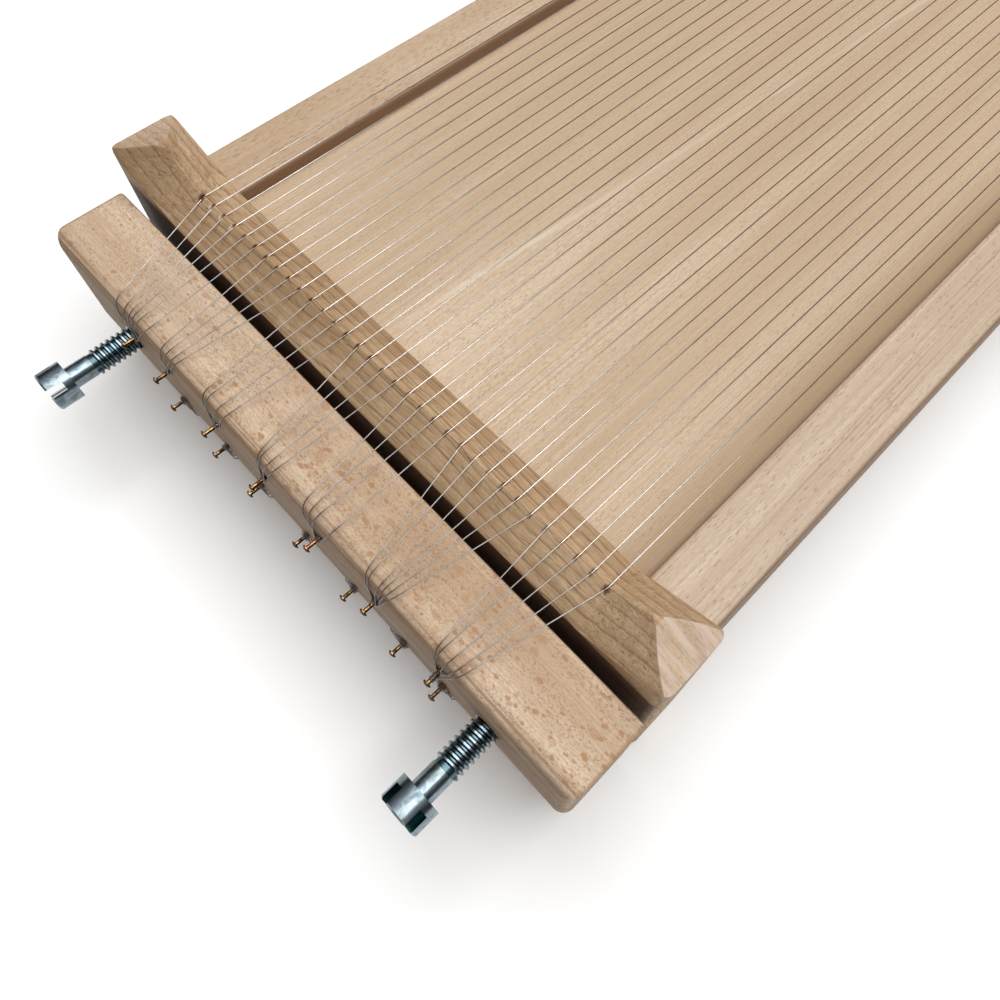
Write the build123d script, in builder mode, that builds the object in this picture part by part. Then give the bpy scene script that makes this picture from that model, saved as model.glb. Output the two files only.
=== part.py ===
from build123d import *
import os

# A wire-strung pasta cutter: a beech frame, strung on both faces, with a tension bar at one end.
# X runs across the wires, Y along them and Z up. Millimetres. The origin is on the table,
# under the middle of the whole object. The tension bar and its two screws are at the -Y end.

# ---- driving dimensions -------------------------------------------------------------------
height = 75.0                 # from the feet under the ridge bars to their tips on top
mid_z = height / 2            # the two faces mirror each other about this level
end_y = 240.5                 # screw heads at -end_y, tips of the far nails at +end_y
near_ridge_y = -175.0
far_ridge_y = 225.0

bar_length = 212.0            # tension bar, across X
long_end_x = 110.3            # the two ridge bars are one part, longer to one side of the
short_end_x = 106.2           # frame's middle; the far bar is the near one turned round
bar_depth = 21.0              # a ridge bar, along Y
bar_corner_r = 3.0            # its four upright corners, in plan

ridge_rise = 29.2             # ridge above mid_z, over the strung middle
shoulder_rise = 21.8          # top of its upright faces above mid_z
ear_start_x = 81.0            # outside this the profile climbs into an ear
long_tip_x = 94.8             # where each ear's tip stands
short_tip_x = 93.0
ear_tip_rise = 38.3           # where ridge and hips would meet, before the tip is worn flat
ear_end_rise = 32.4           # the hip's outer edge, at the end of the bar
ridge_round = 0.6
shoulder_round = 1.0

wire_d = 0.4
wire_rise = 28.5              # wires above (and below) mid_z
kerf_width = 0.5

top_pitch = 5.0
top_groups = [6, 4, 4, 4, 4, 6, 5]
top_nail_x = [-66.0, -50.0, -27.0, -5.5, 17.5, 40.0, 63.5]
bottom_pitch = 3.0
bottom_groups = [8, 6, 6, 6, 6, 8, 8]
bottom_nail_x = [-54.0, -32.5, -15.5, 5.5, 26.5, 47.0, 62.5]

rail_width = 20.0
rail_height = 38.0
rail_outer_x = 103.5
rail_edge_r = 1.8
board_thickness = 5.0
board_top_z = 51.0
groove_depth = 4.0
groove_play = 0.1

tension_depth = 23.5
tension_height = 40.0
tension_gap = 3.5             # between the near ridge bar and the tension bar
tension_edge_r = 4.5          # long front edges, which the wires bend over
tension_back_r = 0.8
tension_corner_r = 4.0        # upright corners in front, in plan
tension_back_corner_r = 1.2

nail_d = 1.1
nail_head_d = 2.4
nail_head_t = 0.7
nail_out = 5.0                # head's outer face from the wood
nail_in = 12.0
near_nail_rise = 10.5         # rows on the tension bar, above and below mid_z
far_nail_rise = 9.0           # rows on the far ridge bar

screw_x = {"left": -75.0, "right": 79.0}
thread_crest_r = 3.95
thread_root_r = 3.15
thread_pitch = 1.75
shank_r = 3.4
head_r = 6.1
head_length = 7.3
head_slot_width = 2.8
head_slot_depth = 4.8
shank_length = 6.7
tip_r = 3.0
socket_depth = 5.0
running_gap = 0.05

dowel_r = 4.0
dowel_length = 40.0
dowel_rise = 9.5              # each joint has two, above and below mid_z

# ---- levels and faces that follow ---------------------------------------------------------
near_front_y = near_ridge_y - bar_depth / 2
near_back_y = near_ridge_y + bar_depth / 2
far_inner_y = far_ridge_y - bar_depth / 2
far_outer_y = far_ridge_y + bar_depth / 2
tension_back_y = near_front_y - tension_gap
tension_front_y = tension_back_y - tension_depth
rail_length = far_inner_y - near_back_y
rail_mid_y = (far_inner_y + near_back_y) / 2
rail_mid_x = rail_outer_x - rail_width / 2
rail_inner_x = rail_outer_x - rail_width
wire_gap = wire_d / 2 + 0.05  # wire's centre line from wood that it bears on
lead_in_drop = wire_rise - tension_height / 2 - wire_gap
lead_in_fall = lead_in_drop / (near_ridge_y - tension_front_y + wire_gap)
lead_out_drop = wire_rise - shoulder_rise + 0.2
lead_out_fall = lead_out_drop / (bar_depth / 2 + wire_gap) * 1.06

os.makedirs("parts", exist_ok=True)


def save(part, label):
    part.label = label
    export_step(part, f"parts/{label}.step")


# ---- ridge bars ---------------------------------------------------------------------------
def profile_rises(out, end_x, tip_x):
    """Ridge and shoulder heights above mid_z, at a distance out into an ear."""
    ridge_slope = (ear_tip_rise - ridge_rise) / (tip_x - ear_start_x)
    shoulder_slope = (ear_end_rise - shoulder_rise) / (end_x - ear_start_x)
    return ridge_rise + ridge_slope * out, shoulder_rise + shoulder_slope * out


def ridge_profile(side, x, y, end_x, tip_x):
    """The bar's six-sided section at x to one side, gabled on top and underneath."""
    ridge, shoulder = profile_rises(x - ear_start_x, end_x, tip_x)
    half = bar_depth / 2
    outline = [(y - half, mid_z - shoulder), (y, mid_z - ridge), (y + half, mid_z - shoulder),
               (y + half, mid_z + shoulder), (y, mid_z + ridge), (y - half, mid_z + shoulder)]
    with BuildSketch(Plane.YZ.offset(side * x)) as section:
        with BuildLine():
            Polyline(*outline, close=True)
        make_face()
        corners = section.vertices()
        at_ridge = [v for v in corners if abs(v.X - y) < 0.1]
        at_shoulder = [v for v in corners if abs(v.X - y) > 0.1]
        fillet(at_ridge, ridge_round)
        fillet(at_shoulder, shoulder_round)
    return section.sketch


def wire_x(count, pitch):
    """Where the wires of one face stand along the ridge."""
    return [pitch * (i - (count - 1) / 2) for i in range(count)]


def kerf_outline(side, y, near_fall, far_fall):
    """A saw kerf seen from the end of the bar. Its floor follows the wire down on each side."""
    floor = wire_rise - wire_d / 2 - 0.03
    top = ridge_rise + 2
    reach = bar_depth / 2 + 1
    points = [(-reach, floor - near_fall * reach), (0, floor), (reach, floor - far_fall * reach),
              (reach, top), (-reach, top)]
    return [(y + py, mid_z + side * pz) for py, pz in points if py or near_fall or far_fall]


def cut_kerfs(count, pitch, side, y, near_fall, far_fall):
    for x in wire_x(count, pitch):
        with BuildSketch(Plane.YZ.offset(x)) as kerf:
            with BuildLine():
                Polyline(*kerf_outline(side, y, near_fall, far_fall), close=True)
            make_face()
        extrude(kerf.sketch, amount=kerf_width / 2, both=True, mode=Mode.SUBTRACT)


def bar_body(y, long_side):
    """The shaped bar before kerfs and holes are cut, built about the bar's own ridge line."""
    ears = {long_side: (long_end_x, long_tip_x), -long_side: (short_end_x, short_tip_x)}
    extrude(ridge_profile(-1, ear_start_x, y, *ears[-1]), amount=2 * ear_start_x)
    reach = 20.0
    for side, ear in ears.items():
        end, tip = ear
        loft([ridge_profile(side, ear_start_x, y, *ear), ridge_profile(side, end, y, *ear)],
             ruled=True)
        # hips: a sloping cut at each end, above and below
        hip_drop = (ear_tip_rise - ear_end_rise) / (end - tip)
        rise_out = ear_end_rise - hip_drop * reach
        rise_in = ear_tip_rise + hip_drop * reach
        for face in (-1, 1):
            cut = [(side * (end + reach), mid_z + face * rise_out),
                   (side * (tip - reach), mid_z + face * rise_in),
                   (side * (end + reach), mid_z + face * rise_in)]
            with BuildSketch(Plane.XZ.offset(-y - bar_depth)) as hip:
                with BuildLine():
                    Polyline(*cut, close=True)
                make_face()
            extrude(hip.sketch, amount=2 * bar_depth, mode=Mode.SUBTRACT)
    # feet and tips worn flat, and rounded upright corners
    with BuildSketch(Plane.XY) as plan:
        with Locations((long_side * (long_end_x - short_end_x) / 2, y)):
            RectangleRounded(long_end_x + short_end_x, bar_depth, bar_corner_r)
    extrude(plan.sketch, amount=height, mode=Mode.INTERSECT)


def dowel_holes(y, direction):
    """Blind holes for the corner dowels, drilled into the face at y."""
    for side in (-1, 1):
        for face in (-1, 1):
            with BuildSketch(Plane.XZ.offset(-y)) as hole:
                with Locations((side * rail_mid_x, mid_z + face * dowel_rise)):
                    Circle(dowel_r)
            depth = dowel_length / 2 - 5 + 0.2
            extrude(hole.sketch, amount=-direction * depth, mode=Mode.SUBTRACT)


with BuildPart() as near_ridge_bar:
    bar_body(near_ridge_y, -1)
    cut_kerfs(sum(top_groups), top_pitch, 1, near_ridge_y, lead_in_fall, 0)
    cut_kerfs(sum(bottom_groups), bottom_pitch, -1, near_ridge_y, lead_in_fall, 0)
    dowel_holes(near_back_y, -1)
    for x in screw_x.values():
        with BuildSketch(Plane.XZ.offset(-near_front_y)):
            with Locations((x, mid_z)):
                Circle(tip_r + running_gap)
        extrude(amount=-socket_depth, mode=Mode.SUBTRACT)
save(near_ridge_bar.part, "near_ridge_bar")

with BuildPart() as far_ridge_bar:
    bar_body(far_ridge_y, 1)
    cut_kerfs(sum(top_groups), top_pitch, 1, far_ridge_y, 0, lead_out_fall)
    cut_kerfs(sum(bottom_groups), bottom_pitch, -1, far_ridge_y, 0, lead_out_fall)
    dowel_holes(far_inner_y, 1)
save(far_ridge_bar.part, "far_ridge_bar")

# ---- rails, dowels and board --------------------------------------------------------------
for name, side in (("left_rail", -1), ("right_rail", 1)):
    with BuildPart() as rail:
        with BuildSketch(Plane.XZ.offset(-near_back_y)):
            with Locations((side * rail_mid_x, mid_z)):
                RectangleRounded(rail_width, rail_height, rail_edge_r)
        extrude(amount=-rail_length)
        with BuildSketch(Plane.XZ.offset(-near_back_y)):
            with Locations((side * rail_inner_x, board_top_z - board_thickness / 2)):
                Rectangle(2 * groove_depth, board_thickness + 2 * groove_play)
        extrude(amount=-rail_length, mode=Mode.SUBTRACT)
        for y, direction in ((near_back_y, 1), (far_inner_y, -1)):
            for face in (-1, 1):
                with BuildSketch(Plane.XZ.offset(-y)):
                    with Locations((side * rail_mid_x, mid_z + face * dowel_rise)):
                        Circle(dowel_r)
                extrude(amount=-direction * (dowel_length / 2 + 5 + 0.2), mode=Mode.SUBTRACT)
    save(rail.part, name)

with BuildPart() as corner_dowels:
    for y, into_rail in ((near_back_y, 1), (far_inner_y, -1)):
        start = y - into_rail * (dowel_length / 2 - 5)
        for side in (-1, 1):
            for face in (-1, 1):
                with BuildSketch(Plane.XZ.offset(-start)):
                    with Locations((side * rail_mid_x, mid_z + face * dowel_rise)):
                        Circle(dowel_r - 0.02)
                extrude(amount=-into_rail * dowel_length)
save(corner_dowels.part, "corner_dowels")

with BuildPart() as center_board:
    with BuildSketch(Plane.XY.offset(board_top_z - board_thickness)):
        with Locations((0, rail_mid_y)):
            Rectangle(2 * (rail_inner_x + groove_depth - 0.3), rail_length - 0.6)
    extrude(amount=board_thickness)
save(center_board.part, "center_board")

# ---- tension bar --------------------------------------------------------------------------
with BuildPart() as tension_bar:
    with BuildSketch(Plane.XY.offset(mid_z - tension_height / 2)) as tension_plan:
        with Locations((0, tension_back_y - tension_depth / 2)):
            Rectangle(bar_length, tension_depth)
        fillet(tension_plan.vertices().sort_by(Axis.Y)[:2], tension_corner_r)
        fillet(tension_plan.vertices().sort_by(Axis.Y)[-2:], tension_back_corner_r)
    extrude(amount=tension_height)
    # long edges rounded in section: generous in front, slight behind
    with BuildSketch(Plane.YZ.offset(-bar_length / 2)) as tension_section:
        with Locations((tension_back_y - tension_depth / 2, mid_z)):
            Rectangle(tension_depth, tension_height)
        front_corners = tension_section.vertices().sort_by(Axis.X)[:2]
        fillet(front_corners, tension_edge_r)
        back_corners = tension_section.vertices().sort_by(Axis.X)[-2:]
        fillet(back_corners, tension_back_r)
    extrude(amount=bar_length, mode=Mode.INTERSECT)
    for x in screw_x.values():
        with BuildSketch(Plane.XZ.offset(-tension_back_y)):
            with Locations((x, mid_z)):
                Circle(thread_crest_r + running_gap)
        extrude(amount=tension_depth, mode=Mode.SUBTRACT)
save(tension_bar.part, "tension_bar")

# ---- tension screws -----------------------------------------------------------------------
# Threaded through the tension bar; the plain tip turns in a blind socket in the near ridge bar.
thread_start_y = -end_y + head_length + shank_length
thread_end_y = tension_back_y + 1.0
tip_end_y = near_front_y + socket_depth - 0.2


def screw_cylinder(x, radius, y_from, y_to):
    with BuildSketch(Plane.XZ.offset(-y_from)) as disc:
        with Locations((x, mid_z)):
            Circle(radius)
    extrude(disc.sketch, amount=-(y_to - y_from))


def thread_ridge(x):
    """One helical ridge from the shank to behind the tension bar."""
    length = thread_end_y - thread_start_y - thread_pitch
    depth = thread_crest_r - thread_root_r
    base = Plane(origin=(x, thread_start_y + thread_pitch / 2, mid_z), x_dir=(1, 0, 0), z_dir=(0, 1, 0))
    helix = base * Helix(thread_pitch, length, thread_root_r)
    start = helix @ 0
    out = (start - Vector(x, start.Y, mid_z)).normalized()
    frame = Plane(origin=start, x_dir=out, z_dir=helix % 0)
    outline = frame * make_face(Polyline((-0.15, -0.75), (depth, -0.25), (depth, 0.25), (-0.15, 0.75),
                                         close=True))
    return sweep(outline, path=helix, is_frenet=True)


for name, x in screw_x.items():
    thread = thread_ridge(x)
    with BuildPart() as screw:
        screw_cylinder(x, head_r, -end_y, -end_y + head_length)
        chamfer(screw.edges().filter_by(GeomType.CIRCLE).sort_by(Axis.Y)[0], 0.5)
        # two crossed slots across the head
        with BuildSketch(Plane.XZ.offset(end_y)):
            with Locations((x, mid_z)):
                Rectangle(2.4 * head_r, head_slot_width, rotation=45)
                Rectangle(2.4 * head_r, head_slot_width, rotation=135)
        extrude(amount=-head_slot_depth, mode=Mode.SUBTRACT)
        screw_cylinder(x, shank_r, -end_y + head_length, thread_start_y)
        screw_cylinder(x, thread_root_r, thread_start_y, thread_end_y)
        screw_cylinder(x, tip_r, thread_end_y, tip_end_y)
        add(thread)
    save(screw.part, f"{name}_tension_screw")


# ---- nails --------------------------------------------------------------------------------
def nail(x, z, face_y, outward):
    """One round nail standing out of an upright face, its head rounded on the outside."""
    outline = [(0, -nail_in), (nail_d / 2, -nail_in + 1.5), (nail_d / 2, nail_out - nail_head_t),
               (nail_head_d / 2, nail_out - nail_head_t), (nail_head_d / 2, nail_out - nail_head_t / 2),
               (nail_head_d / 4, nail_out), (0, nail_out)]
    with BuildSketch(Plane((x, face_y, z), x_dir=(1, 0, 0), z_dir=(0, 0, outward))) as half:
        with BuildLine():
            Polyline(*outline, close=True)
        make_face()
    revolve(half.sketch, axis=Axis((x, face_y, z), (0, 1, 0)))


def loop_nail_x(groups, pitch):
    """Each far nail holds the loop of two neighbouring wires; an odd last wire has its own."""
    places = wire_x(sum(groups), pitch)
    return [sum(places[i:i + 2]) / len(places[i:i + 2]) for i in range(0, len(places), 2)]


nail_rows = {
    "upper_near_nails": (top_nail_x, mid_z + near_nail_rise, tension_front_y, -1),
    "lower_near_nails": (bottom_nail_x, mid_z - near_nail_rise, tension_front_y, -1),
    "upper_far_nails": (loop_nail_x(top_groups, top_pitch), mid_z + far_nail_rise, far_outer_y, 1),
    "lower_far_nails": (loop_nail_x(bottom_groups, bottom_pitch), mid_z - far_nail_rise, far_outer_y, 1),
}
for name, (places, z, face_y, outward) in nail_rows.items():
    with BuildPart() as row:
        for x in places:
            nail(x, z, face_y, outward)
    save(row.part, name)


# ---- wires --------------------------------------------------------------------------------
nail_step = 0.45              # wires sit side by side along a near nail
first_on_nail = 0.4
edge_share = 0.4              # how much of a bottom wire's sideways lead-in is left at the edge
top_edge_x = [                # where each top wire bends over the tension bar's front edge
    [-72.4, -68.2, -65.8, -64.4, -62.2, -58.0],
    [-50.6, -48.2, -45.6, -43.8],
    [-31.3, -29.4, -24.8, -21.6],
    [-6.8, -5.8, -2.9, -0.4],
    [11.7, 14.4, 16.8, 22.7],
    [36.2, 37.4, 41.0, 42.2, 43.6, 45.0],
    [61.2, 62.2, 65.3, 67.9, 69.4],
]


def near_points(x, nail_x, edge_x, order, side):
    """From the near nail, over the tension bar's front edge, to the kerf in the near ridge."""
    level = mid_z + side * wire_rise
    bar_face = mid_z + side * (tension_height / 2 + wire_gap)
    nail_z = mid_z + side * (near_nail_rise + nail_d / 2 + wire_d / 2 + 0.03)
    front = tension_front_y - wire_gap
    return [(nail_x, tension_front_y - first_on_nail - nail_step * order, nail_z),
            (edge_x, front, bar_face), (x, near_ridge_y, level)]


def far_points(x, side):
    """From the near ridge to the far ridge and over its outer slope to the top of the face."""
    level = mid_z + side * wire_rise
    return [(x, far_ridge_y, level), (x, far_outer_y + wire_gap, mid_z + side * (shoulder_rise - 0.2))]


def loop_points(x, side):
    """The two bottom corners of a loop round its far nail."""
    reach = nail_d / 2 + wire_d / 2 + 0.03
    z = mid_z + side * (far_nail_rise - reach)
    return [(x - reach, far_outer_y + wire_gap, z), (x + reach, far_outer_y + wire_gap, z)], reach


def wire_solid(points, radii):
    with BuildLine() as route:
        FilletPolyline(*points, radius=radii)
    start = route.line @ 0
    with BuildSketch(Plane(origin=start, z_dir=route.line % 0)) as round_section:
        Circle(wire_d / 2)
    sweep(round_section.sketch, path=route.line)


edge_bend = tension_edge_r + wire_gap
ridge_bend = 1.2
shoulder_bend = 1.0


def string_face(label, groups, pitch, nails, edges, side):
    """All wires of one face, one node for each near nail."""
    places = wire_x(sum(groups), pitch)
    first = 0
    for number, (size, nail_x) in enumerate(zip(groups, nails), start=1):
        members = places[first:first + size]
        at_edge = edges[number - 1] if edges else [nail_x + edge_share * (x - nail_x) for x in members]
        with BuildPart() as group:
            for order in range(0, size, 2):
                pair = members[order:order + 2]
                ends = [near_points(x, nail_x, at_edge[order + k], order + k, side) + far_points(x, side)
                        for k, x in enumerate(pair)]
                bends = [edge_bend, ridge_bend, ridge_bend]
                if len(pair) == 2:
                    loop, reach = loop_points(sum(pair) / 2, side)
                    points = ends[0] + loop + ends[1][::-1]
                    radii = bends + [shoulder_bend, reach * 0.9, reach * 0.9, shoulder_bend] + bends[::-1]
                else:
                    below = mid_z + side * (far_nail_rise + nail_d / 2 + wire_d / 2 + 0.03)
                    points = ends[0] + [(pair[0], far_outer_y + wire_gap, below)]
                    radii = bends + [shoulder_bend]
                wire_solid(points, radii)
        save(group.part, f"{label}_wires_{number}")
        first += size


string_face("top", top_groups, top_pitch, top_nail_x, top_edge_x, 1)
string_face("bottom", bottom_groups, bottom_pitch, bottom_nail_x, None, -1)
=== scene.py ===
"""A beech pasta cutter strung with steel wires on both faces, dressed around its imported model.

X runs across the wires, Y along them and Z up, in metres. The tension bar is at the -Y end.
"""
import bpy
import math
from mathutils import Euler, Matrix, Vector


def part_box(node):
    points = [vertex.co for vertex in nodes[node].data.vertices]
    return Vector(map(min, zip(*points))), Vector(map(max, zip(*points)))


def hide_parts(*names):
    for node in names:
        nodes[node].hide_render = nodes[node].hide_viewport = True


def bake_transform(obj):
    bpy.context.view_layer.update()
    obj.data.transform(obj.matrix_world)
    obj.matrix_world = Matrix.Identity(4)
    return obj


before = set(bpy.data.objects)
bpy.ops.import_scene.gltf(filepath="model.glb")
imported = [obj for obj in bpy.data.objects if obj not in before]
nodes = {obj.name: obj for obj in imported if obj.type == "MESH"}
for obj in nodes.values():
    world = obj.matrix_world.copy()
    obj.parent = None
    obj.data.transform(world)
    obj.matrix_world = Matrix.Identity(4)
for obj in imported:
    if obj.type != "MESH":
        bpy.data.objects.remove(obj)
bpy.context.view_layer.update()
MM = 0.001


# ---- places on the object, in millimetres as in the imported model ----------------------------
def box_mm(node):
    low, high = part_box(node)
    return low / MM, high / MM


bar_low, bar_high = box_mm("tension_bar")
near_low, near_high = box_mm("near_ridge_bar")
far_low, far_high = box_mm("far_ridge_bar")
rail_low, rail_high = box_mm("right_rail")
MID_Z = (near_low.z + near_high.z) / 2
NEAR_RIDGE_Y = (near_low.y + near_high.y) / 2
FAR_RIDGE_Y = (far_low.y + far_high.y) / 2
MIDDLE_Y = (NEAR_RIDGE_Y + FAR_RIDGE_Y) / 2
RIDGE_REACH = (FAR_RIDGE_Y - NEAR_RIDGE_Y) / 2
FRONT_Y = bar_low.y
BACK_Y = bar_high.y
FAR_FACE_Y = far_high.y
BAR_HALF = (bar_high.z - bar_low.z) / 2
BAR_END_X = bar_high.x
RAIL_IN_X = rail_low.x
RAIL_OUT_X = rail_high.x
HEAD_FACE_Y = box_mm("right_tension_screw")[0].y

# the ridge bars' raised ends: the far bar is the near one turned round
LONG_TIP_X, SHORT_TIP_X = 94.8, 93.0
LONG_HIP_FALL, SHORT_HIP_FALL = 0.381, 0.447
HIP_RISE = 38.1
SHOULDER_RISE = 21.8
RIDGE_TOP_RISE = 28.6
LEFT_SCREW_X, RIGHT_SCREW_X = -75.0, 79.0
THREAD_START = 14.0
THREAD_CREST_R = 3.65
SLOT_DEPTH = 4.8
SLOT_HALF = 1.42

TOP_GROUPS, TOP_PITCH = [6, 4, 4, 4, 4, 6, 5], 5.0
TOP_NAIL_X = [-66.0, -50.0, -27.0, -5.5, 17.5, 40.0, 63.5]
TOP_HALF = TOP_PITCH * sum(TOP_GROUPS) / 2
BOTTOM_GROUPS, BOTTOM_PITCH = [8, 6, 6, 6, 6, 8, 8], 3.0
BOTTOM_NAIL_X = [-54.0, -32.5, -15.5, 5.5, 26.5, 47.0, 62.5]
# where each top wire bends over the tension bar's front edge, by upper nail
TOP_EDGE_X = [
    [-72.4, -68.2, -65.8, -64.4, -62.2, -58.0],
    [-50.6, -48.2, -45.6, -43.8],
    [-31.3, -29.4, -24.8, -21.6],
    [-6.8, -5.8, -2.9, -0.4],
    [11.7, 14.4, 16.8, 22.7],
    [36.2, 37.4, 41.0, 42.2, 43.6, 45.0],
    [61.2, 62.2, 65.3, 67.9, 69.4],
]


# ---- camera and light ----------------------------------------------------------------------
scene = bpy.context.scene
scene.view_settings.view_transform = "Standard"

camera_data = bpy.data.cameras.new("camera")
camera_data.sensor_width = 36.0
camera_data.lens = 31.5
camera_data.shift_x = -0.0551
camera_data.shift_y = -0.1015
camera_data.clip_start = 0.01
camera = bpy.data.objects.new("camera", camera_data)
camera.location = (0.1083, -0.2321, 0.2605)
camera.rotation_euler = Euler([math.radians(a) for a in (29.39, -2.46, 45.08)])
scene.collection.objects.link(camera)
scene.camera = camera


def area_light(name, place, target, width, depth, power):
    """A rectangular light at a place, facing a target."""
    data = bpy.data.lights.new(name, "AREA")
    data.shape = "RECTANGLE"
    data.size = width
    data.size_y = depth
    data.energy = power
    light = bpy.data.objects.new(name, data)
    light.location = place
    light.rotation_euler = (Vector(target) - Vector(place)).to_track_quat("-Z", "Y").to_euler()
    scene.collection.objects.link(light)


area_light("softbox", (0.12, 0.3, 1.5), (0.1, 0.2, 0.0), 1.7, 1.2, 24.0)

# the room is dim near the horizon and brighter overhead
world = bpy.data.worlds.new("studio")
world.use_nodes = True
background = world.node_tree.nodes["Background"]
background.inputs["Strength"].default_value = 1.0
view = world.node_tree.nodes.new("ShaderNodeTexCoord")
height = world.node_tree.nodes.new("ShaderNodeSeparateXYZ")
world.node_tree.links.new(view.outputs["Generated"], height.inputs["Vector"])
sky = world.node_tree.nodes.new("ShaderNodeMapRange")
sky.interpolation_type = "SMOOTHSTEP"
sky.inputs["From Min"].default_value = 0.4
sky.inputs["From Max"].default_value = 0.95
sky.inputs["To Min"].default_value = 0.1
sky.inputs["To Max"].default_value = 0.6
world.node_tree.links.new(height.outputs["Z"], sky.inputs["Value"])
world.node_tree.links.new(sky.outputs["Result"], background.inputs["Color"])
scene.world = world


# ---- shader helpers ------------------------------------------------------------------------
def srgb(red, green, blue):
    """A linear colour from display values of 0 to 255."""
    def linear(value):
        value /= 255
        return value / 12.92 if value <= 0.04045 else ((value + 0.055) / 1.055) ** 2.4
    return (linear(red), linear(green), linear(blue), 1.0)


class Shader:
    """A material under construction. An input is a value or another node's output."""

    def __init__(self, name):
        self.material = bpy.data.materials.new(name)
        self.material.use_nodes = True
        self.tree = self.material.node_tree
        self.bsdf = self.tree.nodes["Principled BSDF"]

    def fill(self, socket, value):
        """Link a node's output to the socket, or set its value."""
        if isinstance(value, bpy.types.NodeSocket):
            self.tree.links.new(value, socket)
        else:
            socket.default_value = value

    def add(self, kind, inputs, **settings):
        node = self.tree.nodes.new(kind)
        for key, value in settings.items():
            setattr(node, key, value)
        for key, value in inputs.items():
            self.fill(node.inputs[key], value)
        return node

    def surface(self, **inputs):
        """Inputs of the surface shader, with _ for the spaces in their names."""
        for key, value in inputs.items():
            self.fill(self.bsdf.inputs[key.replace("_", " ")], value)

    def math(self, operation, *values):
        return self.add("ShaderNodeMath", dict(enumerate(values)), operation=operation).outputs[0]

    def vector(self, operation, *values):
        node = self.add("ShaderNodeVectorMath", {}, operation=operation)
        for socket, value in zip(node.inputs, values):
            self.fill(socket, value)
        return node.outputs["Value" if operation in ("LENGTH", "DISTANCE") else "Vector"]

    def scaled(self, vector, *factors):
        return self.vector("MULTIPLY", vector, factors)

    def noise(self, vector, detail=2.0, roughness=0.5, distortion=0.0):
        return self.add("ShaderNodeTexNoise", {
            "Vector": vector, "Scale": 1.0, "Detail": detail, "Roughness": roughness,
            "Distortion": distortion}).outputs["Fac"]

    def cells(self, vector):
        return self.add("ShaderNodeTexVoronoi", {"Vector": vector, "Scale": 1.0})

    def between(self, value, low, high, start=0.0, end=1.0):
        """A smooth step from start to end as the value goes from low to high."""
        return self.add("ShaderNodeMapRange", {
            "Value": value, "From Min": low, "From Max": high, "To Min": start, "To Max": end},
            interpolation_type="SMOOTHSTEP").outputs["Result"]

    def ramp(self, value, *stops):
        """Colours or greys at places from 0 to 1."""
        node = self.add("ShaderNodeValToRGB", {"Fac": value})
        elements = node.color_ramp.elements
        while len(elements) < len(stops):
            elements.new(0.5)
        for element, (place, colour) in zip(elements, stops):
            element.position = place
            element.color = colour if isinstance(colour, tuple) else (colour, colour, colour, 1.0)
        return node.outputs["Color"]

    def mix(self, factor, first, second, blend="MIX"):
        node = self.add("ShaderNodeMix", {0: factor, 6: first, 7: second},
                        data_type="RGBA", blend_type=blend, clamp_factor=True)
        return node.outputs[2]

    def bump(self, height, distance, strength=1.0):
        return self.add("ShaderNodeBump", {
            "Height": height, "Distance": distance, "Strength": strength}).outputs["Normal"]

    def millimetres(self):
        place = self.add("ShaderNodeTexCoord", {}).outputs["Object"]
        return self.scaled(place, 1 / MM, 1 / MM, 1 / MM)


# ---- wood ----------------------------------------------------------------------------------
def grain_space(shader, grain):
    """Millimetres along the grain, across it and up."""
    place = shader.millimetres()
    if grain == "X":
        return place, place
    split = shader.add("ShaderNodeSeparateXYZ", {"Vector": place}).outputs
    turned = shader.add("ShaderNodeCombineXYZ", {"X": split["Y"], "Y": split["X"], "Z": split["Z"]})
    return place, turned.outputs["Vector"]


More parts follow.
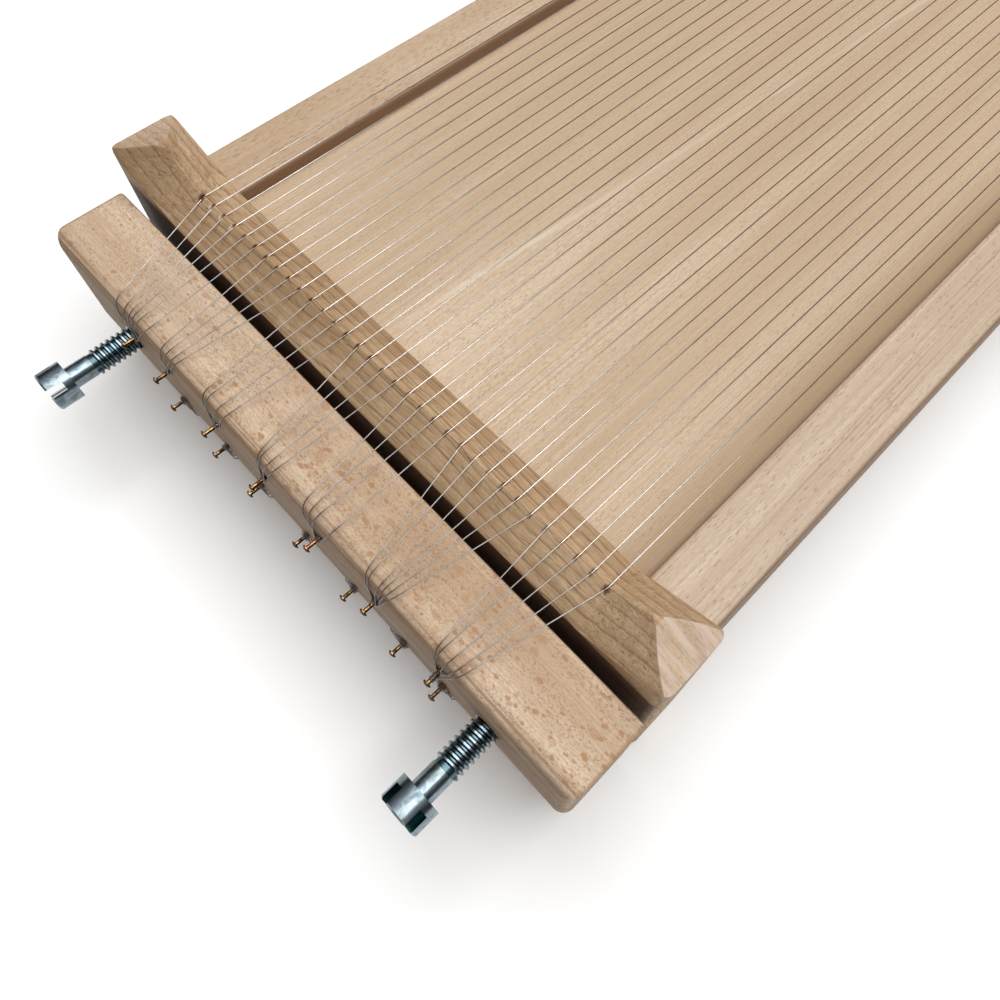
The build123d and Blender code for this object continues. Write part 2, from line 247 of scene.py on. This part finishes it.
def beech(name, grain, pale, deep, line, pith, ring, line_share, wobble=3.0, pore=None,
          pore_share=0.5, pore_length=2.2, pore_width=0.42, fleck=None, mottle=0.4, crisp=0.0,
          streak=0.0, sway=1.0, calm=1.0, seed=0.0, extra=None):
    """Beech with growth rings about a pith line, fine fibres, pore dashes and ray flecks."""
    s = Shader(name)
    place, along = grain_space(s, grain)
    along = s.vector("ADD", along, (seed, seed * 0.7, seed * 0.3))

    # soft changes of tone, long fibres and fine tooth
    broad = s.noise(s.scaled(along, 0.011 / calm, 0.05, 0.05), detail=3.0)
    patches = s.noise(s.scaled(along, 0.09 / calm, 0.16, 0.16), detail=4.0, roughness=0.6)
    fibre = s.noise(s.scaled(along, 0.02 / calm, 1.3, 1.3), detail=3.0, roughness=0.65)
    tooth = s.noise(s.scaled(along, 0.45, 2.2, 2.2), detail=4.0, roughness=0.75)

    # growth rings: distance from the pith, bent by noise
    shifted = s.vector("SUBTRACT", along, (0.0, pith[0] + seed * 0.7, pith[1] + seed * 0.3))
    flat = s.vector("LENGTH", s.scaled(shifted, 0.012, 1.0, 1.0))
    bend = s.math("MULTIPLY", s.noise(s.scaled(along, 0.008 / calm, 0.03, 0.03)), wobble * ring)
    small_bend = s.math("MULTIPLY", s.noise(s.scaled(along, 0.05 / calm, 0.3, 0.3)), 0.5 * ring)
    distance = s.math("ADD", s.math("ADD", flat, bend), small_bend)
    turns = s.math("DIVIDE", distance, ring)
    late = s.ramp(s.math("FRACT", turns), (0.0, 0.0), (0.45, 0.12), (0.9, 1.0), (1.0, 0.0))
    which = s.noise(s.add("ShaderNodeCombineXYZ", {
        "X": s.math("MULTIPLY", s.math("FLOOR", turns), 3.7)}).outputs[0])
    late = s.math("MULTIPLY", late, s.between(which, 0.3, 0.65, 0.35, 1.0))
    edge = s.ramp(s.math("FRACT", turns), (0.8, 0.0), (0.9, 1.0), (0.97, 1.0), (1.0, 0.0))

    tone = s.math("ADD", s.math("MULTIPLY", broad, 0.8), s.math("MULTIPLY", fibre, 0.5))
    colour = s.mix(s.between(tone, 0.4, 0.9), pale, deep)
    colour = s.mix(s.math("MULTIPLY", s.between(patches, 0.46, 0.66), mottle), colour, deep)
    colour = s.mix(s.math("MULTIPLY", late, line_share), colour, line)
    colour = s.mix(s.math("MULTIPLY", edge, crisp), colour, line)
    colour = s.mix(s.between(tooth, 0.4, 0.65, 0.0, 0.7), colour, deep)
    height = s.math("ADD", s.math("MULTIPLY", tooth, 0.5), s.math("MULTIPLY", late, -0.3))

    if streak:
        # thin dark and thin light lines along the grain
        swayed = s.vector("ADD", along, s.add("ShaderNodeCombineXYZ", {"Y": s.math(
            "MULTIPLY", s.noise(s.scaled(along, 0.03 / calm, 0.05, 0.05)), 7.0 * sway)}).outputs[0])
        thin = s.noise(s.scaled(swayed, 0.009, 1.7, 1.7), detail=3.0, roughness=0.6)
        colour = s.mix(s.between(thin, 0.57, 0.68, 0.0, streak), colour, line)
        colour = s.mix(s.between(thin, 0.32, 0.42, 0.75 * streak, 0.0), colour, pale)
        height = s.math("SUBTRACT", height, s.between(thin, 0.57, 0.68, 0.0, 0.5))

    if pore:
        wander = s.scaled(along, 1 / pore_length, 1 / pore_width, 1 / pore_width)
        cell = s.cells(wander)
        chosen = s.between(cell.outputs["Color"], 0.62 - 0.4 * pore_share, 0.64 - 0.4 * pore_share)
        dash = s.math("MULTIPLY", s.between(cell.outputs["Distance"], 0.2, 0.42, 1.0, 0.0), chosen)
        strong = s.between(s.noise(s.scaled(along, 0.05, 0.2, 0.2)), 0.35, 0.6, 0.4, 1.0)
        dash = s.math("MULTIPLY", dash, strong)
        colour = s.mix(s.math("MULTIPLY", dash, 0.75), colour, pore)
        height = s.math("SUBTRACT", height, s.math("MULTIPLY", dash, 0.6))

    if fleck:
        ragged = s.add("ShaderNodeTexNoise", {
            "Vector": s.scaled(along, 0.9, 0.9, 0.9), "Scale": 1.0, "Detail": 3.0}).outputs["Color"]
        shaken = s.vector("ADD", along, s.scaled(ragged, 1.6, 1.1, 1.1))
        side = s.add("ShaderNodeSeparateXYZ", {"Vector": place}).outputs["X"]
        clumps = s.noise(s.scaled(along, 0.035, 0.06, 0.06))
        # larger and more of them toward the right end
        for size, left, right in ((6.4, 0.05, 0.62), (3.6, 0.25, 0.62), (1.9, 0.35, 0.5)):
            cell = s.cells(s.scaled(s.vector("ADD", shaken, (size * 9.0, size, 0.0)),
                                    1 / size, 1.75 / size, 1.75 / size))
            pick = s.add("ShaderNodeSeparateXYZ", {"Vector": cell.outputs["Color"]}).outputs
            share = s.math("SUBTRACT", s.between(side, -90.0, 90.0, 1.0 - left, 1.0 - right),
                           s.between(clumps, 0.35, 0.65, -0.15, 0.15))
            chosen = s.math("GREATER_THAN", pick["X"], share)
            reach = s.math("ADD", s.math("MULTIPLY", pick["Y"], 0.16), 0.2)
            inside = s.math("SUBTRACT", cell.outputs["Distance"], reach)
            spot = s.math("MULTIPLY", s.between(inside, -0.06, 0.02, 1.0, 0.0), chosen)
            depth = s.math("ADD", s.math("MULTIPLY", pick["Z"], 0.55), 0.35)
            colour = s.mix(s.math("MULTIPLY", spot, depth), colour, fleck)

    if extra:
        colour = extra(s, place, along, colour)
    s.surface(Base_Color=colour, Roughness=s.between(fibre, 0.3, 0.7, 0.58, 0.72),
              Normal=s.bump(height, 0.00006, 0.8))
    s.bsdf.inputs["Specular IOR Level"].default_value = 0.28
    return s.material


def ridge_marks(s, place, along, colour):
    """Paler hips, painted shadows of the wires in the kerfs, burn marks at the outermost wires and
    painted shade on the front below the shoulder.
    """
    split = s.add("ShaderNodeSeparateXYZ", {"Vector": place}).outputs
    out = s.math("ABSOLUTE", split["X"])
    off_ridge = s.math("ABSOLUTE", s.math("SUBTRACT", s.math("ABSOLUTE", s.math(
        "SUBTRACT", split["Y"], MIDDLE_Y)), RIDGE_REACH))
    rise = s.math("ABSOLUTE", s.math("SUBTRACT", split["Z"], MID_Z))
    # a hip is the plane that falls from the tip to the end of the bar
    near_or_far = s.between(split["Y"], -20.0, 20.0, 1.0, -1.0)
    turned = s.math("MULTIPLY", split["X"], near_or_far)
    tip = s.between(turned, -20.0, 20.0, LONG_TIP_X, SHORT_TIP_X)
    fall = s.between(turned, -20.0, 20.0, LONG_HIP_FALL, SHORT_HIP_FALL)
    hip = s.math("ADD", rise, s.math("MULTIPLY", s.math("SUBTRACT", out, tip), fall))
    streaks = s.noise(s.scaled(place, 0.05, 0.55, 0.12), detail=3.0)
    streaks = s.between(streaks, 0.4, 0.62, 0.95, 0.35)
    bright = s.math("MULTIPLY", s.between(turned, -20.0, 20.0, 0.35, 1.0), streaks)
    on_hip = s.between(hip, HIP_RISE - 0.2, HIP_RISE + 0.1)
    colour = s.mix(s.math("MULTIPLY", on_hip, bright), colour, srgb(208, 188, 170))
    # painted shadow of every top wire in its kerf, just off the ridge
    step = s.math("MODULO", s.math("ADD", split["X"], TOP_HALF), TOP_PITCH)
    off_wire = s.math("ABSOLUTE", s.math("SUBTRACT", step, TOP_PITCH / 2))
    kerf_shadow = s.between(off_wire, 0.3, 0.75, 1.0, 0.0)
    kerf_shadow = s.math("MULTIPLY", kerf_shadow, s.between(off_ridge, 0.6, 2.3, 0.8, 0.0))
    kerf_shadow = s.math("MULTIPLY", kerf_shadow, s.between(rise, 27.0, 28.0))
    kerf_shadow = s.math("MULTIPLY", kerf_shadow, s.between(s.noise(s.scaled(place, 0.23, 0.4, 0.4)), 0.35, 0.6))
    kerf_shadow = s.math("MULTIPLY", kerf_shadow, s.between(out, TOP_HALF + 0.5, TOP_HALF, 0.0, 1.0))
    colour = s.mix(kerf_shadow, colour, srgb(98, 58, 36))
    off_near_ridge = s.add("ShaderNodeCombineXYZ", {
        "X": split["X"], "Y": s.math("SUBTRACT", split["Y"], NEAR_RIDGE_Y),
        "Z": s.math("SUBTRACT", split["Z"], MID_Z)}).outputs["Vector"]
    shake = s.math("MULTIPLY", s.noise(s.scaled(place, 1.6, 1.6, 1.6), detail=3.0), 1.3)
    for x, size, burn in ((-80.0, 0.8, srgb(96, 44, 24)), (80.0, 0.7, srgb(92, 44, 30)),
                          (75.0, 0.35, srgb(112, 66, 44))):
        away = s.vector("DISTANCE", s.scaled(off_near_ridge, 1.0, 0.8, 1.0),
                        (x, -0.6, RIDGE_TOP_RISE))
        near = s.between(s.math("ADD", away, shake), 0.8 * size + 0.6, 1.9 * size + 0.7,
                         0.9, 0.0)
        colour = s.mix(near, colour, burn)
    # painted shade on the front below the shoulder, which hardly sees the light
    low = s.math("MULTIPLY", s.between(rise, SHOULDER_RISE - 0.4, SHOULDER_RISE + 0.6, 1.0, 0.0),
                 s.between(off_ridge, 9.6, 10.3))
    near_end = s.between(split["Y"], NEAR_RIDGE_Y - 5.0, NEAR_RIDGE_Y - 1.0, 1.0, 0.0)
    colour = s.mix(s.math("MULTIPLY", s.math("MULTIPLY", low, near_end), 0.8), colour,
                   srgb(92, 62, 46))
    # pale chips where the next kerfs were sawn
    for x in (-75.0, -70.0, -65.0):
        away = s.vector("DISTANCE", s.scaled(off_near_ridge, 1.0, 0.6, 1.0),
                        (x - 0.3, -1.0, RIDGE_TOP_RISE + 0.2))
        near = s.between(s.math("ADD", away, shake), 1.2, 1.8, 0.75, 0.0)
        colour = s.mix(near, colour, srgb(226, 205, 178))
    return colour


def front_lines_and_shade(s, place, along, colour):
    """Brown lines on the rounded front edges, painted shade on the front face and on the back face
    in the gap, and a darker end face.
    """
    split = s.add("ShaderNodeSeparateXYZ", {"Vector": place}).outputs
    thin = s.noise(s.scaled(along, 0.015, 1.3, 1.3), detail=2.0)
    rim = s.between(split["Y"], FRONT_Y + 1.0, FRONT_Y + 4.5, 0.85, 0.0)
    lines = s.math("MULTIPLY", s.between(thin, 0.47, 0.62), rim)
    colour = s.mix(lines, colour, srgb(150, 112, 82))
    # painted shade on the front face, stronger in places
    front_shade_amount = s.between(s.noise(s.scaled(along, 0.03, 0.5, 0.5), detail=3.0), 0.3, 0.7, 0.6, 0.85)
    front = s.between(split["Y"], FRONT_Y + 0.3, FRONT_Y + 1.9, 1.0, 0.0)
    front = s.math("MULTIPLY", front, front_shade_amount)
    colour = s.mix(front, colour, srgb(130, 105, 80))
    out = s.math("ABSOLUTE", split["X"])
    end = s.between(out, BAR_END_X - 1.0, BAR_END_X - 0.1, 0.0, 0.6)
    colour = s.mix(end, colour, srgb(138, 108, 80))
    # painted shade on the back face, in the gap before the near ridge bar
    back = s.between(split["Y"], BACK_Y - 0.5, BACK_Y - 0.1, 0.0, 0.8)
    return s.mix(back, colour, srgb(92, 62, 46))


def rail_side_shade(s, place, along, colour):
    """Painted shade on the rails' inner and outer faces, which come out browner than their tops."""
    out = s.math("ABSOLUTE", s.add("ShaderNodeSeparateXYZ", {"Vector": place}).outputs["X"])
    # painted shade on the outer face
    outer = s.between(out, RAIL_OUT_X - 1.3, RAIL_OUT_X - 0.3, 0.0, 0.75)
    colour = s.mix(outer, colour, srgb(122, 92, 64))
    # painted shade on the inner face
    inner = s.between(out, RAIL_IN_X + 0.2, RAIL_IN_X + 0.9, 0.8, 0.0)
    return s.mix(inner, colour, srgb(132, 98, 70))


def pale_streak(s, place, along, colour):
    """A thin pale streak along the board, a few dark specks, painted falloff of the light toward
    the far end, and painted shade along the right edge beside the rail.
    """
    split = s.add("ShaderNodeSeparateXYZ", {"Vector": place}).outputs
    line = s.math("ADD", s.math("MULTIPLY", split["Y"], 0.091), -1.6)
    waver = s.math("MULTIPLY", s.noise(s.scaled(place, 0.0, 0.03, 0.0)), 2.0)
    off = s.math("ABSOLUTE", s.math("ADD", s.math("SUBTRACT", split["X"], line), waver))
    broken = s.between(s.noise(s.scaled(place, 0.1, 0.014, 0.0)), 0.35, 0.6, 0.1, 0.7)
    colour = s.mix(s.math("MULTIPLY", s.between(off, 0.2, 1.5, 1.0, 0.0), broken), colour,
                   srgb(232, 216, 196))
    speck = s.cells(s.scaled(place, 0.03, 0.022, 0.0))
    dot = s.between(speck.outputs["Distance"], 0.012, 0.02, 0.6, 0.0)
    colour = s.mix(dot, colour, srgb(140, 102, 62))
    warm = s.noise(s.scaled(place, 0.03, 0.01, 0.0), detail=3.0)
    colour = s.mix(s.between(warm, 0.45, 0.7, 0.0, 0.35), colour, srgb(196, 166, 134))
    # painted falloff of the light toward the far end
    colour = s.mix(s.between(split["Y"], -165.0, 0.0, 0.0, 0.45), colour, srgb(184, 158, 129))
    # painted shade along the right edge, beside the right rail
    return s.mix(s.between(split["X"], 68.0, 82.0, 0.0, 0.75), colour, srgb(158, 130, 100))


ridge_wood = beech("beech_ridge", "X", srgb(208, 180, 146), srgb(162, 130, 96),
                   srgb(112, 78, 50), pith=(9.0, 84.0), ring=2.6, line_share=0.35, wobble=5.0,
                   crisp=0.5, streak=0.7, sway=1.5, seed=17.0, extra=ridge_marks)
tension_wood = beech("beech_tension_bar", "X", srgb(223, 202, 177), srgb(186, 157, 128),
                     srgb(160, 124, 92), pith=(-120.0, -420.0), ring=2.0, line_share=0.12,
                     pore=srgb(144, 106, 80), pore_share=0.95, pore_length=1.0,
                     pore_width=0.28, fleck=srgb(172, 130, 94), mottle=0.4, streak=0.16,
                     sway=0.3, seed=5.0, extra=front_lines_and_shade)
left_rail_wood = beech("beech_left_rail", "Y", srgb(214, 193, 168), srgb(184, 157, 128),
                       srgb(160, 126, 96), pith=(-60.0, -40.0), ring=3.4, line_share=0.16,
                       pore=srgb(138, 102, 78), pore_share=0.62, pore_length=3.2,
                       pore_width=0.36, mottle=0.2, streak=0.15, sway=0.2, seed=31.0,
                       extra=rail_side_shade)
right_rail_wood = beech("beech_right_rail", "Y", srgb(216, 197, 177), srgb(186, 162, 139),
                        srgb(154, 124, 100), pith=(104.0, -10.0), ring=2.2, line_share=0.2,
                        streak=0.6, sway=0.2, pore=srgb(158, 126, 102), pore_share=0.1,
                        pore_length=2.6, mottle=0.25, calm=1.6, seed=47.0, extra=rail_side_shade)
board_wood = beech("beech_board", "Y", srgb(224, 203, 177), srgb(192, 166, 137),
                   srgb(172, 142, 112), pith=(0.0, -600.0), ring=5.0, line_share=0.12, wobble=1.2,
                   pore=srgb(166, 136, 108), pore_share=0.2, pore_length=2.0, pore_width=0.3,
                   mottle=0.2, streak=0.35, sway=0.1, calm=4.0, seed=71.0, extra=pale_streak)
dowel_wood = beech("beech_dowels", "Y", srgb(214, 188, 160), srgb(196, 166, 134),
                   srgb(160, 124, 92), pith=(60.0, -20.0), ring=2.4, line_share=0.35, seed=90.0)


# ---- metal ---------------------------------------------------------------------------------
def zinc_plate():
    """Bright zinc, blue in places, with painted shade in the thread roots and the head's slots."""
    s = Shader("zinc_plated_steel")
    place = s.millimetres()
    tint = s.noise(s.scaled(place, 0.35, 0.22, 0.35), detail=3.0, distortion=0.6)
    fine = s.noise(s.scaled(place, 5.0, 5.0, 5.0), detail=3.0, roughness=0.7)
    colour = s.ramp(tint, (0.3, srgb(92, 116, 134)), (0.48, srgb(142, 154, 162)),
                    (0.6, srgb(114, 126, 124)), (0.75, srgb(72, 98, 120)))
    colour = s.mix(s.between(fine, 0.55, 0.75, 0.0, 0.3), colour, srgb(70, 80, 88))
    split = s.add("ShaderNodeSeparateXYZ", {"Vector": place}).outputs
    axis_x = s.between(split["X"], -10.0, 10.0, LEFT_SCREW_X, RIGHT_SCREW_X)
    across = s.math("SUBTRACT", split["X"], axis_x)
    up = s.math("SUBTRACT", split["Z"], MID_Z)
    radius = s.vector("LENGTH", s.add("ShaderNodeCombineXYZ", {"X": across, "Y": up}).outputs[0])
    thread_y = HEAD_FACE_Y + THREAD_START
    in_thread = s.between(split["Y"], thread_y - 0.1, thread_y + 0.1)
    # painted shade in the thread roots
    thread_root_shade = s.math("MULTIPLY", s.between(radius, 3.2, THREAD_CREST_R, 0.7, 0.0), in_thread)
    colour = s.mix(thread_root_shade, colour, srgb(38, 72, 80))
    one = s.math("ABSOLUTE", s.math("MULTIPLY", s.math("ADD", across, up), 0.7071))
    other = s.math("ABSOLUTE", s.math("MULTIPLY", s.math("SUBTRACT", across, up), 0.7071))
    floor_y = HEAD_FACE_Y + SLOT_DEPTH
    # painted shade in the head's slots
    slot_shade = s.math("MULTIPLY", s.between(split["Y"], floor_y, floor_y + 0.2, 0.85, 0.0),
                     s.between(s.math("MINIMUM", one, other), SLOT_HALF, SLOT_HALF + 0.08,
                               1.0, 0.0))
    colour = s.mix(slot_shade, colour, srgb(58, 104, 106))
    s.surface(Base_Color=colour, Metallic=1.0, Roughness=s.between(fine, 0.3, 0.7, 0.14, 0.26),
              Normal=s.bump(fine, 0.00002, 0.4))
    return s.material


def nail_brass():
    """Brass, with painted shade on the sides and undersides, some nails redder than others."""
    s = Shader("brass")
    place = s.millimetres()
    dull = s.noise(s.scaled(place, 0.9, 0.9, 0.9), detail=4.0, roughness=0.6)
    fine = s.noise(s.scaled(place, 9.0, 3.0, 9.0), detail=2.0)
    each = s.noise(s.scaled(place, 0.11, 0.0, 0.07), detail=0.0)
    colour = s.ramp(dull, (0.35, srgb(188, 150, 92)), (0.5, srgb(116, 84, 50)),
                    (0.62, srgb(58, 40, 28)))
    colour = s.mix(s.between(each, 0.3, 0.42, 0.8, 0.0), colour, srgb(176, 104, 66))
    # painted shade wherever the surface does not face up
    normal = s.add("ShaderNodeNewGeometry", {}).outputs["Normal"]
    up = s.add("ShaderNodeSeparateXYZ", {"Vector": normal}).outputs["Z"]
    colour = s.mix(s.between(up, 0.45, 1.0, 0.94, 0.0), colour, srgb(44, 30, 22))
    s.surface(Base_Color=colour, Metallic=1.0, Roughness=s.between(dull, 0.4, 0.7, 0.15, 0.35),
              Normal=s.bump(fine, 0.00002, 0.5))
    return s.material


def spring_steel():
    """Drawn wire, with painted dark reflections over the tension bar's front edge, round the nails
    and along the middles.
    """
    s = Shader("steel_wire")
    place = s.millimetres()
    dull = s.noise(s.scaled(place, 0.5, 0.05, 0.5), detail=3.0)
    scratch = s.noise(s.scaled(place, 12.0, 0.6, 12.0), detail=2.0)
    colour = s.mix(s.between(dull, 0.35, 0.65), srgb(236, 234, 231), srgb(206, 203, 199))
    along = s.add("ShaderNodeSeparateXYZ", {"Vector": place}).outputs["Y"]
    # painted dark reflection on the wire over the tension bar's front edge and round the nails
    painted_dark_edge = s.between(along, FRONT_Y + 1.9, FRONT_Y + 7.0, 0.8, 0.0)
    colour = s.mix(painted_dark_edge, colour, srgb(96, 88, 84))
    # and a painted dark reflection along the middles
    middle = s.between(along, NEAR_RIDGE_Y + 3.0, NEAR_RIDGE_Y + 80.0, 0.0, 0.9)
    colour = s.mix(middle, colour, srgb(74, 66, 58))
    s.surface(Base_Color=colour, Metallic=1.0, Roughness=s.between(scratch, 0.3, 0.7, 0.3, 0.46))
    return s.material


def studio_floor():
    """Matt off-white, lifted a little so that the light on it evens out."""
    s = Shader("floor_paint")
    grain = s.noise(s.scaled(s.millimetres(), 0.02, 0.02, 0.02), detail=2.0)
    s.surface(Base_Color=s.mix(grain, (0.93, 0.93, 0.93, 1.0), (0.96, 0.96, 0.96, 1.0)),
              Roughness=0.9)
    s.bsdf.inputs["Specular IOR Level"].default_value = 0.1
    s.bsdf.inputs["Emission Color"].default_value = (1.0, 1.0, 1.0, 1.0)
    s.bsdf.inputs["Emission Strength"].default_value = 0.1
    return s.material


zinc, brass, steel = zinc_plate(), nail_brass(), spring_steel()
finishes = {
    "near_ridge_bar": ridge_wood, "far_ridge_bar": ridge_wood, "tension_bar": tension_wood,
    "left_rail": left_rail_wood, "right_rail": right_rail_wood, "center_board": board_wood,
    "corner_dowels": dowel_wood, "left_tension_screw": zinc, "right_tension_screw": zinc,
    "upper_near_nails": brass, "lower_near_nails": brass, "upper_far_nails": brass,
    "lower_far_nails": brass,
}
for node_name, finish in finishes.items():
    mesh = nodes[node_name].data
    mesh.materials.clear()
    mesh.materials.append(finish)


# ---- floor ---------------------------------------------------------------------------------
floor_mesh = bpy.data.meshes.new("floor")
FLOOR_HALF = 4.0
floor_mesh.from_pydata([(x * FLOOR_HALF, y * FLOOR_HALF, 0.0)
                        for x, y in ((-1, -1), (1, -1), (1, 1), (-1, 1))], [], [(0, 1, 2, 3)])
floor_mesh.materials.append(studio_floor())
floor = bpy.data.objects.new("floor", floor_mesh)
scene.collection.objects.link(floor)


# ---- wires ---------------------------------------------------------------------------------
# Millimetres here too. Rises are above or below MID_Z, for the top and the bottom wires.
WIRE_R = 0.165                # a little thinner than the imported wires
WIRE_GAP = WIRE_R + 0.05      # centre line from the wood that it bears on
WIRE_RISE = 28.5
NAIL_R = 0.55
WIND_R = NAIL_R + WIRE_R + 0.02
NEAR_NAIL_RISE = 10.5
FAR_NAIL_RISE = 9.0
EDGE_BEND = 4.75              # radii: over the tension bar's edge, a ridge and a shoulder
RIDGE_BEND = 1.2
SHOULDER_BEND = 1.0
ARC_STEPS = 7
BOTTOM_EDGE_SHARE = 0.4       # a bottom wire's way from its nail to its kerf, at the edge
FIRST_ON_NAIL = 0.35          # wires lie side by side on a nail, then in a layer outside
NAIL_STEP = 0.42
SIDE_BY_SIDE = 3
LAYER = 0.36
TURNS = 0.8
TIED_OFF_TURNS = 4.3          # the last wire of all
PER_TURN = 14
TUBE_SIDES = 8


def rounded(points, radii):
    """The path through the points, with an arc of the given radius at each inner corner."""
    path = [points[0]]
    for before, corner, after, radius in zip(points, points[1:], points[2:], radii):
        back, on = (before - corner).normalized(), (after - corner).normalized()
        half = back.angle(on) / 2
        reach = min(radius / math.tan(half), 0.48 * (before - corner).length,
                    0.48 * (after - corner).length)
        turn = math.pi - 2 * half
        centre = corner + (back + on).normalized() * reach / math.cos(half)
        first, last = corner + back * reach - centre, corner + on * reach - centre
        for i in range(ARC_STEPS + 1):
            share = i / ARC_STEPS
            path.append(centre + (first * math.sin((1 - share) * turn)
                                  + last * math.sin(share * turn)) / math.sin(turn))
    return path + [points[-1]]


def winding(nail_x, y, nail_z, side, hand, turns, radius):
    """Turns of wire about a near nail, that end where the wire leaves toward the bar's edge."""
    points = []
    for i in range(int(PER_TURN * turns), -1, -1):
        angle = 2 * math.pi * i / PER_TURN
        points.append(Vector((nail_x + hand * radius * math.cos(angle),
                              y - NAIL_STEP * i / PER_TURN,
                              nail_z - side * radius * math.sin(angle))))
    return points


def tube(paths, name):
    """One mesh of round wire along several paths, closed at their ends."""
    verts, faces = [], []
    for path in paths:
        start = len(verts)
        normal = None
        for i, point in enumerate(path):
            ahead = (path[min(i + 1, len(path) - 1)] - path[max(i - 1, 0)]).normalized()
            if normal is None:
                normal = ahead.orthogonal().normalized()
            normal = (normal - ahead * normal.dot(ahead)).normalized()
            beside = ahead.cross(normal)
            for k in range(TUBE_SIDES):
                a = 2 * math.pi * k / TUBE_SIDES
                spot = point + (normal * math.cos(a) + beside * math.sin(a)) * WIRE_R
                verts.append(spot * MM)
        for i in range(len(path) - 1):
            for k in range(TUBE_SIDES):
                a, b = start + i * TUBE_SIDES + k, start + i * TUBE_SIDES + (k + 1) % TUBE_SIDES
                faces.append((a, b, b + TUBE_SIDES, a + TUBE_SIDES))
        end = start + (len(path) - 1) * TUBE_SIDES
        faces.append(tuple(range(start + TUBE_SIDES - 1, start - 1, -1)))
        faces.append(tuple(range(end, end + TUBE_SIDES)))
    mesh = bpy.data.meshes.new(name)
    mesh.from_pydata(verts, [], faces)
    mesh.validate()
    mesh.polygons.foreach_set("use_smooth", [len(p.vertices) == 4 for p in mesh.polygons])
    mesh.materials.append(steel)
    piece = bpy.data.objects.new(name, mesh)
    scene.collection.objects.link(piece)
    return piece


def near_run(x, nail_x, edge_x, order, side, tied_off):
    """Turns round the near nail, then the corners from it to the kerf in the near ridge."""
    nail_z = MID_Z + side * NEAR_NAIL_RISE
    hand = 1 if edge_x > nail_x else -1
    layer, row = divmod(order, SIDE_BY_SIDE)
    if tied_off:
        layer, row = 0, SIDE_BY_SIDE
    y = FRONT_Y - FIRST_ON_NAIL - NAIL_STEP * row
    turns = winding(nail_x, y, nail_z, side, hand, TIED_OFF_TURNS if tied_off else TURNS,
                    WIND_R + LAYER * layer)
    corners = [Vector((edge_x, FRONT_Y - WIRE_GAP, MID_Z + side * (BAR_HALF + WIRE_GAP))),
               Vector((x, NEAR_RIDGE_Y, MID_Z + side * WIRE_RISE))]
    return turns, corners


def far_run(x, side):
    """The corners over the far ridge and down to the far bar's outer face."""
    return [Vector((x, FAR_RIDGE_Y, MID_Z + side * WIRE_RISE)),
            Vector((x, FAR_FACE_Y + WIRE_GAP, MID_Z + side * (SHOULDER_RISE - 0.2)))]


def string_face(label, groups, pitch, nail_places, edges, side):
    """The wires of one face, a piece for each near nail."""
    count = sum(groups)
    places = [pitch * (i - (count - 1) / 2) for i in range(count)]
    first = 0
    for number, (size, nail_x) in enumerate(zip(groups, nail_places), start=1):
        members = places[first:first + size]
        first += size
        at_edge = edges[number - 1] if edges else [
            nail_x + BOTTOM_EDGE_SHARE * (x - nail_x) for x in members]
        paths = []
        for order in range(0, size, 2):
            pair = members[order:order + 2]
            runs = []
            for k, x in enumerate(pair):
                last = order + k == size - 1
                tied_off = last and label == "top" and number == len(groups)
                runs.append(near_run(x, nail_x, at_edge[order + k], order + k, side, tied_off))
            starts = [turns[:-1] for turns, _ in runs]
            ends = [[turns[-1]] + corners + far_run(x, side)
                    for (turns, corners), x in zip(runs, pair)]
            bends = [EDGE_BEND, RIDGE_BEND, RIDGE_BEND]
            if len(pair) == 2:
                # two neighbours are one wire, looped round a far nail
                middle = sum(pair) / 2
                z = MID_Z + side * (FAR_NAIL_RISE - WIND_R)
                loop = [Vector((middle - WIND_R, FAR_FACE_Y + WIRE_GAP, z)),
                        Vector((middle + WIND_R, FAR_FACE_Y + WIRE_GAP, z))]
                corners = ends[0] + loop + ends[1][::-1]
                radii = (bends + [SHOULDER_BEND, WIND_R * 0.9, WIND_R * 0.9, SHOULDER_BEND]
                         + bends[::-1])
                paths.append(starts[0] + rounded(corners, radii) + starts[1][::-1])
            else:
                below = MID_Z + side * (FAR_NAIL_RISE + WIND_R)
                corners = ends[0] + [Vector((pair[0], FAR_FACE_Y + WIRE_GAP, below))]
                paths.append(starts[0] + rounded(corners, bends + [SHOULDER_BEND]))
        node = f"{label}_wires_{number}"
        piece = tube(paths, f"{label}_strings_{number}")
        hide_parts(node)
        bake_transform(piece)


string_face("top", TOP_GROUPS, TOP_PITCH, TOP_NAIL_X, TOP_EDGE_X, 1)
string_face("bottom", BOTTOM_GROUPS, BOTTOM_PITCH, BOTTOM_NAIL_X, None, -1)
